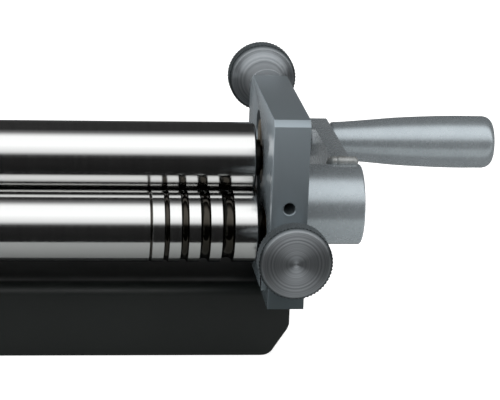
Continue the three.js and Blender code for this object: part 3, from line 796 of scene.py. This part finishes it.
def socketScrew(name, screw, length):
    head, headEnd, radius, socket = screw["headRadius"], screw["headLength"], screw["radius"], screw["socket"]
    profile = softened([(0, 0), (head, 0), (head, headEnd), (radius, headEnd),
                        (radius, headEnd + length), (0, headEnd + length)], 0.35)
    body = lathe(name, profile, (0, 0, 0), "Z", 40)
    key = lathe("keyTool", [(0, -1), (socket, -1), (socket, headEnd * 0.55), (0, headEnd * 0.75)],
                (0, 0, 0), "Z", 6)    # six sides make it a hexagon
    return carve(body, [key], 0.12, 1)


def slottedScrew(name, screw):
    head, depth, radius = screw["headRadius"], screw["headDepth"], screw["radius"]
    end = depth + screw["length"]
    profile = softened([(0, 0), (head, 0), (radius, depth), (radius, end), (0, end)], 0.15, keep=(0,))
    body = lathe(name, profile, (0, 0, 0), "Z", 40)
    slot = prism("slotTool", rectangle(head + 1, screw["slotWidth"] / 2), -1, depth * 0.5, "Z")
    return carve(body, [slot], 0.1, 1)


def crossScrew(name, screw):
    head, headEnd, radius, end = screw["headRadius"], screw["headLength"], screw["radius"], screw["end"]
    dome = [(0, 0.2), (1.6, 0), (3.1, 0.5), (head, 1.3)]
    profile = softened(dome + [(head, headEnd), (radius, headEnd), (radius, end), (0, end)], 0.25)
    body = lathe(name, profile, (0, 0, 0), "Z", 40)
    reach, half = screw["crossReach"], screw["crossHalfWidth"]
    cross = [prism("crossTool", rectangle(*size), -1, screw["crossDepth"], "Z")
             for size in ((reach, half), (half, reach))]
    return carve(body, cross, 0.08, 1)


def setOf(name, screw, nodes, places, material, slot):
    piece = runTree(name, screwSet, {"Screw": screw, "Steel": material}, pointMesh(name, places))
    bpy.data.objects.remove(screw, do_unlink=True)
    shadeEdges(piece.data)
    hand(piece, "frame_body", material, slot, *nodes)


def makeBaseScrews():
    nodes = [f"base_screw_{sideName(side)}_{place}" for side in (1, -1) for place in ("front", "back")]
    length = highCorner(nodes[0]).z - lowCorner(nodes[0]).z - baseScrew["headLength"]
    places = [(middle(node).x, middle(node).y, lowCorner(node).z) for node in nodes]
    setOf("baseScrews", socketScrew("baseScrew", baseScrew, length), nodes, places, darkScrew, "dark_screw")


def makeKeeperScrews(side):
    nodes = [f"keeper_screw_{sideName(side)}_{place}" for place in ("front", "back")]
    screw = slottedScrew("keeperScrew", keeperScrew)
    moveMesh(screw, outwards(side))
    places = [(innerFace(node, side), middle(node).y, middle(node).z) for node in nodes]
    setOf(f"keeperScrews_{sideName(side)}", screw, nodes, places, darkScrew, "dark_screw")


def makeSetScrew(side):
    node = f"set_screw_{sideName(side)}"
    spot = middle(node)
    screw = socketScrew("grub", plateGrub, plateGrub["length"])
    moveMesh(screw, "Y")
    setOf(f"setScrew_{sideName(side)}", screw, [node], [(spot.x, lowCorner(node).y, spot.z)],
          darkScrew, "dark_screw")


def makeCoverScrews():
    nodes = ["cover_screw_lower", "cover_screw_upper"]
    screw = crossScrew("coverScrew", coverScrew)
    moveMesh(screw, "X")
    places = [(lowCorner(node).x, middle(node).y, middle(node).z) for node in nodes]
    setOf("coverScrews", screw, nodes, places, rodSteel, "bright_screw")


# end plates

plateShape = {
    "frontBevel": 2.5, "backChamfer": 8, "pocketDepth": 12, "slotRadius": 8.3, "edge": 0.35,
    "upperSlot": (-3, 14.1), "frontSlot": (-5.5, 2.5), "bushHole": 10,
    "screwHole": 4.3, "rearBore": 40, "frontBore": 24, "plungerGap": 0.8,
    "tappedHole": 2.4, "tappedDepth": 34, "countersink": 0.5, "drillPoint": 1.2,
}


# a place on the upper roll's slanted slide, so far up from its rest
def onSlide(distance):
    centre = middle("upper_roll")
    return (centre.y + distance * math.sqrt(0.5), centre.z + distance * math.sqrt(0.5))


def makePlate(side):
    shape = plateShape
    node = f"end_plate_{sideName(side)}"
    low, high = lowCorner(node), highCorner(node)
    inner, mid = innerFace(node, side), (low.x + high.x) / 2
    bevel, chamfer = shape["frontBevel"], shape["backChamfer"]
    outline = [(low.y, low.z), (high.y, low.z), (high.y, high.z - chamfer), (high.y - chamfer, high.z),
               (low.y + bevel, high.z), (low.y, high.z - bevel)]
    plate = prism(f"endPlate_{sideName(side)}", outline, low.x, high.x)
    pocket = sorted((inner - side * past, inner + side * shape["pocketDepth"]))
    front, drive = middle("front_roll"), middle("drive_roll")
    upperEnds = [onSlide(distance) for distance in shape["upperSlot"]]
    frontEnds = [(front.y + shift, front.z) for shift in shape["frontSlot"]]
    rearStart = lowCorner(f"rear_plunger_{sideName(side)}").y - shape["plungerGap"]
    rearHeight = middle(f"rear_screw_{sideName(side)}").z
    frontHeight = middle(f"front_screw_{sideName(side)}").z
    hole, sink, deep = shape["tappedHole"], shape["countersink"], shape["tappedDepth"]
    tapped = [(0, -past), (hole + sink, -past), (hole + sink, 0), (hole, sink), (hole, deep),
              (0, deep + shape["drillPoint"])]
    tools = [
        prism("upperSlotTool", slotOutline(*upperEnds, shape["slotRadius"]), *pocket),
        prism("frontSlotTool", slotOutline(*frontEnds, shape["slotRadius"]), *pocket),
        drill(shape["bushHole"], low.x - past, high.x + past, (0, drive.y, drive.z), sides=64),
        drill(shape["screwHole"], 0, shape["rearBore"], (mid, rearStart, rearHeight), "Y"),
        drill(shape["screwHole"], 0, shape["frontBore"], (mid, low.y - past, frontHeight), "Y"),
        lathe("tappedTool", tapped, (mid, low.y, middle(f"set_screw_{sideName(side)}").z), "Y", 40),
    ]
    carve(plate, tools, shape["edge"])
    hand(plate, "frame_body", plateSteel, "plate_steel", node)


keeperShape = {
    "corner": 1.2, "edge": 0.25,
    "sinkRadius": 3.9, "sinkLip": 0.2, "holeRadius": 2.2, "holeDepth": 4,
}


def makeKeeper(side):
    shape = keeperShape
    node = f"block_keeper_{sideName(side)}"
    low, high = lowCorner(node), highCorner(node)
    outline = [(low.y, low.z), (high.y, low.z), (high.y, high.z), (low.y, high.z)]
    strip = prism(f"blockKeeper_{sideName(side)}", softened(outline, shape["corner"], 5, True), low.x, high.x)
    sink, lip, hole, deep = shape["sinkRadius"], shape["sinkLip"], shape["holeRadius"], shape["holeDepth"]
    profile = [(0, -1), (sink, -1), (sink, lip), (hole, lip + sink - hole), (hole, deep), (0, deep)]
    tools = []
    for place in ("front", "back"):
        spot = middle(f"keeper_screw_{sideName(side)}_{place}")
        tools.append(lathe("sinkTool", profile, (innerFace(node, side), spot.y, spot.z), outwards(side), 40))
    carve(strip, tools, shape["edge"])
    hand(strip, "frame_body", plateSteel, "satin_steel", node)


# bearing blocks and bushes

blockShape = {"radius": 8, "upperReach": (-2.7, 9.7), "boreRadius": 5.4, "edge": 0.3}
bushShape = {"boreRadius": 6.4, "radius": 9.7, "corner": 0.4}


def makeBlock(level, side):
    node = f"{level}_block_{sideName(side)}"
    low, high = lowCorner(node), highCorner(node)
    radius = blockShape["radius"]
    if level == "upper":
        ends = [onSlide(distance) for distance in blockShape["upperReach"]]
    else:
        ends = [(low.y + radius, middle(node).z), (high.y - radius, middle(node).z)]
    piece = prism(f"{level}Block_{sideName(side)}", slotOutline(*ends, radius), low.x, high.x)
    axis = middle(f"{level}_roll")
    bore = drill(blockShape["boreRadius"], low.x - past, high.x + past, (0, axis.y, axis.z), sides=48)
    carve(piece, [bore], blockShape["edge"])
    hand(piece, f"{level}_carriage", bronze, "bronze", node)


def makeBush(side):
    node = f"drive_bush_{sideName(side)}"
    low, high, centre = lowCorner(node), highCorner(node), middle(node)
    profile = ringProfile(bushShape["boreRadius"], bushShape["radius"], low.x, high.x, bushShape["corner"], 3)
    piece = lathe(f"driveBush_{sideName(side)}", profile, (0, centre.y, centre.z), "X", 80)
    hand(piece, "frame_body", bronze, "bronze", node)


# rolls

rollShape = {
    "radius": 15, "halfLength": 150, "chamfer": 0.8, "collarRadius": 7.75, "collarLength": 2.6,
    "endLand": 10, "land": 5, "grooves": (5, 4, 3, 2, 1), "grooveLip": 0.12, "grooveSteps": 10, "sides": 144,
}


# the skin between the roll's ends; a groove's floor is most of a half ellipse, its lips a short slant
def barrel(withGrooves):
    radius, half, chamfer = rollShape["radius"], rollShape["halfLength"], rollShape["chamfer"]
    lip, steps = rollShape["grooveLip"], rollShape["grooveSteps"]
    points = [(radius - chamfer, -half), (radius, -half + chamfer)]
    grooves = []
    right = half - rollShape["endLand"]
    for width in rollShape["grooves"]:
        grooves.insert(0, (right - width, right))
        right -= width + rollShape["land"]
    for start, end in grooves if withGrooves else []:
        centre, reach = (start + end) / 2, (end - start) / 2
        points.append((radius, start - lip))
        for k in range(steps + 1):
            angle = math.pi * (0.06 + 0.88 * k / steps)
            points.append((radius - 0.05 - reach * 0.8 * math.sin(angle), centre - reach * math.cos(angle)))
        points.append((radius, end + lip))
    return points + [(radius, half - chamfer), (radius - chamfer, half)]


def makeRoll(node, name, body, withGrooves, journal):
    low, high, centre = lowCorner(node), highCorner(node), middle(node)
    half, collar = rollShape["halfLength"], rollShape["collarRadius"]
    collarEnd, faceEdge = half + rollShape["collarLength"], rollShape["radius"] - rollShape["chamfer"]
    leftEnd = softened([(0, low.x), (journal, low.x), (journal, -collarEnd), (collar, -collarEnd),
                        (collar, -half), (faceEdge, -half)], 0.4)
    rightEnd = softened([(faceEdge, half), (collar, half), (collar, collarEnd), (journal, collarEnd),
                         (journal, high.x), (0, high.x)], 0.4)
    profile = leftEnd[:-1] + barrel(withGrooves) + rightEnd[1:]
    piece = lathe(name, profile, (0, centre.y, centre.z), "X", rollShape["sides"], 24)
    hand(piece, body, polishedRoll((0, centre.y, centre.z)), "polished_steel", node)


# knobs and adjusting screws

knobShape = {
    "neckRadius": 8, "neckLength": 6.5, "flareLength": 9.5, "rimRadius": 15, "rimLength": 10,
    "chamfer": 1.5, "bore": 20, "boreRadius": 4.3, "ridges": 60, "ridgeDepth": 0.45, "sides": 128,
}
threadShape = {"radius": 4, "pitch": 1.25, "depth": 0.65, "rowsPerPitch": 8}


def makeKnob(place, side):
    shape = knobShape
    node = f"{place}_knob_{sideName(side)}"
    low, high, centre = lowCorner(node), highCorner(node), middle(node)
    bore, neck, neckEnd = shape["boreRadius"], shape["neckRadius"], shape["neckLength"]
    start = neckEnd + shape["flareLength"]
    end = start + shape["rimLength"]
    edge, skin = shape["rimRadius"] - shape["chamfer"], shape["rimRadius"] - shape["ridgeDepth"]
    slant = shape["chamfer"] - shape["ridgeDepth"]
    front = [(bore + 0.01, 0)] + softened([(bore + 0.02, 0), (neck, 0), (neck, neckEnd)], 0.6)
    flare = []
    for k in range(1, 13):
        turn = k / 12 * math.pi / 2
        flare.append((neck + (edge - neck) * (1 - math.cos(turn)),
                      neckEnd + (shape["flareLength"] - 1) * math.sin(turn)))
    rim = [(edge, start - 0.4), (skin, start + slant)]
    face = [(skin, end - slant), (edge, end - 0.08), (edge - 0.35, end), (0.6, end), (0, end - 0.25)]
    axis, along, foot = ("Y", 1, low.y) if place == "rear" else ("-Y", -1, high.y)
    origin = (centre.x, foot, centre.z)
    body = lathe("knobBody", front + flare + rim + face, origin, axis, shape["sides"])
    hole = [(bore, 0), (bore, shape["bore"]), (0, shape["bore"])]
    inside = lathe("knobBore", hole, origin, axis, shape["sides"])
    inside.data.flip_normals()
    band = runTree("knobBand", knurledBand, {
        "Radius": shape["rimRadius"] * mm, "Width": (shape["rimLength"] - 2 * slant) * mm,
        "Depth": shape["ridgeDepth"] * mm, "Ridges": shape["ridges"], "Slope": 1 / (shape["rimRadius"] * mm),
        "Steel": rodSteel,
    })
    moveMesh(band, axis, (centre.x, foot + along * (start + shape["rimLength"] / 2), centre.z))
    knob = joined(f"{place}Knob_{sideName(side)}", [body, inside, band])
    hand(knob, f"{place}_knob_{sideName(side)}_body", turnedKnob(centre), "turned_steel", node)


def makeAdjuster(place, side):
    shape = threadShape
    node = f"{place}_screw_{sideName(side)}"
    length = highCorner(node).y - lowCorner(node).y
    skin = runTree("threadSkin", threadedRod, {
        "Radius": shape["radius"] * mm, "Length": length * mm, "Pitch": shape["pitch"] * mm,
        "Depth": shape["depth"] * mm, "Rows": int(length / shape["pitch"] * shape["rowsPerPitch"]),
        "Steel": rodSteel,
    })
    sculpt = bmesh.new()
    sculpt.from_mesh(skin.data)
    bmesh.ops.holes_fill(sculpt, edges=[edge for edge in sculpt.edges if edge.is_boundary])
    bmesh.ops.recalc_face_normals(sculpt, faces=sculpt.faces)
    sculpt.to_mesh(skin.data)
    sculpt.free()
    moveMesh(skin, "Y", middle(node))
    piece = joined(f"{place}Screw_{sideName(side)}", [skin])
    hand(piece, f"{place}_knob_{sideName(side)}_body", rodSteel, "bright_screw", node)


# gear cover

coverShape = {"outerRadius": 17, "innerRadius": 14.6, "wall": 2.2, "edge": 2.0, "holeRadius": 2.3}


def makeCover():
    low, high = lowCorner("gear_cover"), highCorner("gear_cover")
    radius, height = coverShape["outerRadius"], middle("gear_cover").z
    ends = [(low.y + radius, height), (high.y - radius, height)]
    shell = prism("gearCover", slotOutline(*ends, radius, 40), low.x, high.x)
    roundEdges(shell, coverShape["edge"], 5)
    tools = [prism("hollowTool", slotOutline(*ends, coverShape["innerRadius"], 40),
                   low.x + coverShape["wall"], high.x + 3)]
    for node in ("cover_screw_lower", "cover_screw_upper"):
        spot = middle(node)
        tools.append(drill(coverShape["holeRadius"], -1, 5, (low.x, spot.y, spot.z), sides=32))
    carve(shell, tools, 0)
    hand(shell, "frame_body", enamel, "black_paint", "gear_cover")


# crank

crankShape = {
    "hubRadius": 17.5, "hubBore": 6.4, "hubChamfer": 1.2, "grubHole": 3.3, "grubDepth": 15.6,
    "rootHalfWidth": 17.3, "endRadius": 10.5, "armEdge": 1.6, "hubGap": 0.2, "spindleHole": 4.3,
}
beadShape = {"ripple": 2.1, "ring": 18.6, "spread": 74, "count": 34, "crossBeads": 8, "seed": 7}


def crankTurn():
    grip, drive = middle("handle_grip"), middle("drive_roll")
    lean = math.atan2(grip.z - drive.z, grip.y - drive.y)
    reach = math.hypot(grip.z - drive.z, grip.y - drive.y)
    return drive, lean, reach


# places drawn along the arm become places in the frame
def onArm(along, across):
    drive, lean, _ = crankTurn()
    return (drive.y + along * math.cos(lean) - across * math.sin(lean),
            drive.z + along * math.sin(lean) + across * math.cos(lean))


def makeHub():
    shape = crankShape
    low, high = lowCorner("crank_hub"), highCorner("crank_hub")
    drive, lean, _ = crankTurn()
    profile = ringProfile(shape["hubBore"], shape["hubRadius"], low.x, high.x, shape["hubChamfer"], 5)
    hub = lathe("crankHub", profile, (0, drive.y, drive.z), "X", 128)
    grubAxis = Matrix.Translation(Vector((middle("crank_set_screw").x, drive.y, drive.z)) * mm)
    hole = drill(shape["grubHole"], 5, 20, (0, 0, 0), "Z", 32)
    hole.data.transform(grubAxis @ Matrix.Rotation(lean + math.pi, 4, "X"))
    carve(hub, [hole], 0)
    hand(hub, "crank_body", crankSteel, "satin_steel", "crank_hub")

    screw = socketScrew("grub", crankGrub, crankGrub["length"])
    screw.data.transform(grubAxis @ Matrix.Rotation(lean, 4, "X")
                         @ Matrix.Translation((0, 0, -shape["grubDepth"] * mm)))
    hand(joined("crankSetScrew", [screw]), "crank_body", darkScrew, "dark_screw", "crank_set_screw")


def makeArm():
    shape = crankShape
    low, high = lowCorner("crank_arm"), highCorner("crank_arm")
    drive, _, reach = crankTurn()
    root, end = shape["rootHalfWidth"], shape["endRadius"]
    taper = math.degrees(math.asin((root - end) / reach))
    outline = [(0, -root)] + arcPoints((reach, 0), end, taper - 90, 90 - taper, 32) + [(0, root)]
    arm = prism("crankArm", [onArm(*spot) for spot in outline], low.x, high.x)
    tools = [
        drill(shape["hubRadius"] + shape["hubGap"], low.x - 5, high.x + 5, (0, drive.y, drive.z), sides=96),
        drill(shape["spindleHole"], low.x - 5, high.x + 5, (0, *onArm(reach, 0)), sides=48),
    ]
    carve(arm, tools, shape["armEdge"], 4)
    hand(arm, "crank_body", crankSteel, "satin_steel", "crank_arm")


# the bead runs round the hub on the arm's inner face, then across the arm's thickness at both ends
def makeBead():
    low, high = lowCorner("crank_arm"), highCorner("crank_arm")
    ring, spread = beadShape["ring"], math.radians(beadShape["spread"])
    count, cross = beadShape["count"], beadShape["crossBeads"]
    places = []
    for k in range(count):
        angle = spread * (2 * k / (count - 1) - 1)
        places.append((low.x - 0.4, *onArm(ring * math.cos(angle), ring * math.sin(angle))))
    for way in (-1, 1):
        spot = onArm(ring * math.cos(spread), way * ring * math.sin(spread))
        for k in range(cross):
            places.append((low.x + (high.x - low.x) * k / (cross - 1), *spot))
    bead = runTree("weldBead", weldRipples, {
        "Ripple": beadShape["ripple"] * mm, "Seed": beadShape["seed"], "Steel": weldSteel,
    }, pointMesh("weldBead", places))
    hand(joined("weldBead", [bead]), "crank_body", weldSteel, "satin_steel")


gripShape = {
    "boreRadius": 4.4, "boreDepth": 60, "mouthRadius": 8.3, "mouthEdge": 0.4,
    "swell": ((0, 8.8), (0.08, 9.1), (0.25, 10.2), (0.4, 11.2), (0.63, 12.05), (0.78, 12.3), (0.9, 12.25)),
    "skinEnd": 0.94, "noseRadius": 12.15, "nose": 4.6,    # the swell and skinEnd in shares of the length
}


# the grip's radius at a share of its length, on a smooth curve through the swell's points
def gripRadius(share):
    swell = gripShape["swell"]
    here = max(i for i, (place, _) in enumerate(swell) if place <= share)
    if here == len(swell) - 1:
        return swell[-1][1]
    (startAt, start), (endAt, end) = swell[here], swell[here + 1]
    before, after = swell[max(here - 1, 0)], swell[min(here + 2, len(swell) - 1)]
    span = endAt - startAt
    t = (share - startAt) / span
    leaving = (end - before[1]) / (endAt - before[0]) * span
    arriving = (after[1] - start) / (after[0] - startAt) * span
    return ((2 * t ** 3 - 3 * t ** 2 + 1) * start + (t ** 3 - 2 * t ** 2 + t) * leaving
            + (3 * t ** 2 - 2 * t ** 3) * end + (t ** 3 - t ** 2) * arriving)


def makeGrip():
    shape = gripShape
    low, high, centre = lowCorner("handle_grip"), highCorner("handle_grip"), middle("handle_grip")
    bore, boreEnd, mouth = shape["boreRadius"], low.x + shape["boreDepth"], shape["mouthRadius"]
    profile = [(0, boreEnd), (bore, boreEnd), (bore, low.x), (mouth, low.x),
               (mouth + shape["mouthEdge"], low.x + shape["mouthEdge"])]
    for k in range(1, 49):
        share = shape["skinEnd"] * k / 48
        profile.append((gripRadius(share), low.x + share * (high.x - low.x)))
    nose = shape["nose"]
    for k in range(1, 13):
        turn = k / 12 * math.pi / 2
        profile.append((shape["noseRadius"] - nose * (1 - math.cos(turn)),
                        high.x - nose * (1 - math.sin(turn))))
    profile += [(4, high.x), (0, high.x)]
    grip = lathe("handleGrip", profile, (0, centre.y, centre.z), "X", 128, 40)
    hand(grip, "grip_body", crankSteel, "satin_steel", "handle_grip")


spindleShape = {"radius": 4, "flangeRadius": 6, "flangeGap": 0.3, "flangeWidth": 1.6, "edge": 0.3}
nutShape = {"acrossFlats": 13, "boreRadius": 4.4, "edge": 0.5}


def makeSpindle():
    low, high, centre = lowCorner("handle_spindle"), highCorner("handle_spindle"), middle("handle_spindle")
    radius, flange = spindleShape["radius"], spindleShape["flangeRadius"]
    flangeStart = highCorner("crank_arm").x + spindleShape["flangeGap"]
    flangeEnd = flangeStart + spindleShape["flangeWidth"]
    profile = softened([(0, low.x), (radius, low.x), (radius, flangeStart), (flange, flangeStart),
                        (flange, flangeEnd), (radius, flangeEnd), (radius, high.x), (0, high.x)],
                       spindleShape["edge"])
    piece = lathe("handleSpindle", profile, (0, centre.y, centre.z), "X", 64)
    hand(piece, "crank_body", rodSteel, "bright_screw", "handle_spindle")

    low, high = lowCorner("spindle_nut"), highCorner("spindle_nut")
    corner = nutShape["acrossFlats"] / math.sqrt(3)
    nut = prism("spindleNut", arcPoints((centre.y, centre.z), corner, 0, 300, 5), low.x, high.x)
    bore = drill(nutShape["boreRadius"], low.x - past, high.x + past, (0, centre.y, centre.z))
    carve(nut, [bore], nutShape["edge"], 3)
    hand(nut, "crank_body", rodSteel, "bright_screw", "spindle_nut")


makeBase()
makeBaseScrews()
for side in (1, -1):
    makeKeeperScrews(side)
    makeSetScrew(side)
makeCoverScrews()
for side in (1, -1):
    makePlate(side)
    makeKeeper(side)
    makeBush(side)
    makeBlock("upper", side)
    makeBlock("front", side)
print("frame made")

makeRoll("upper_roll", "upperRoll", "upper_roll_body", False, 5)
makeRoll("front_roll", "frontRoll", "front_roll_body", True, 5)
makeRoll("drive_roll", "driveRoll", "crank_body", True, 6)
print("rolls made")

for side in (1, -1):
    for place in ("front", "rear"):
        makeKnob(place, side)
        makeAdjuster(place, side)
print("knobs made")

makeCover()
makeHub()
makeArm()
makeBead()
makeGrip()
makeSpindle()
print("cover and crank made")

keptNodes = {
    "thrust_stud_right": rodSteel, "thrust_stud_left": rodSteel,
    "rear_plunger_right": rodSteel, "rear_plunger_left": rodSteel,
    "drive_gear": wheelSteel, "idler_gear": wheelSteel, "front_gear": wheelSteel,
    "drive_gear_nut": rodSteel, "front_gear_nut": rodSteel, "idler_washer": rodSteel, "idler_pin": rodSteel,
}
for node, material in keptNodes.items():
    for slotIndex in range(len(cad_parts[node].data.materials)):
        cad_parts[node].data.materials[slotIndex] = material
print("inner nodes finished")
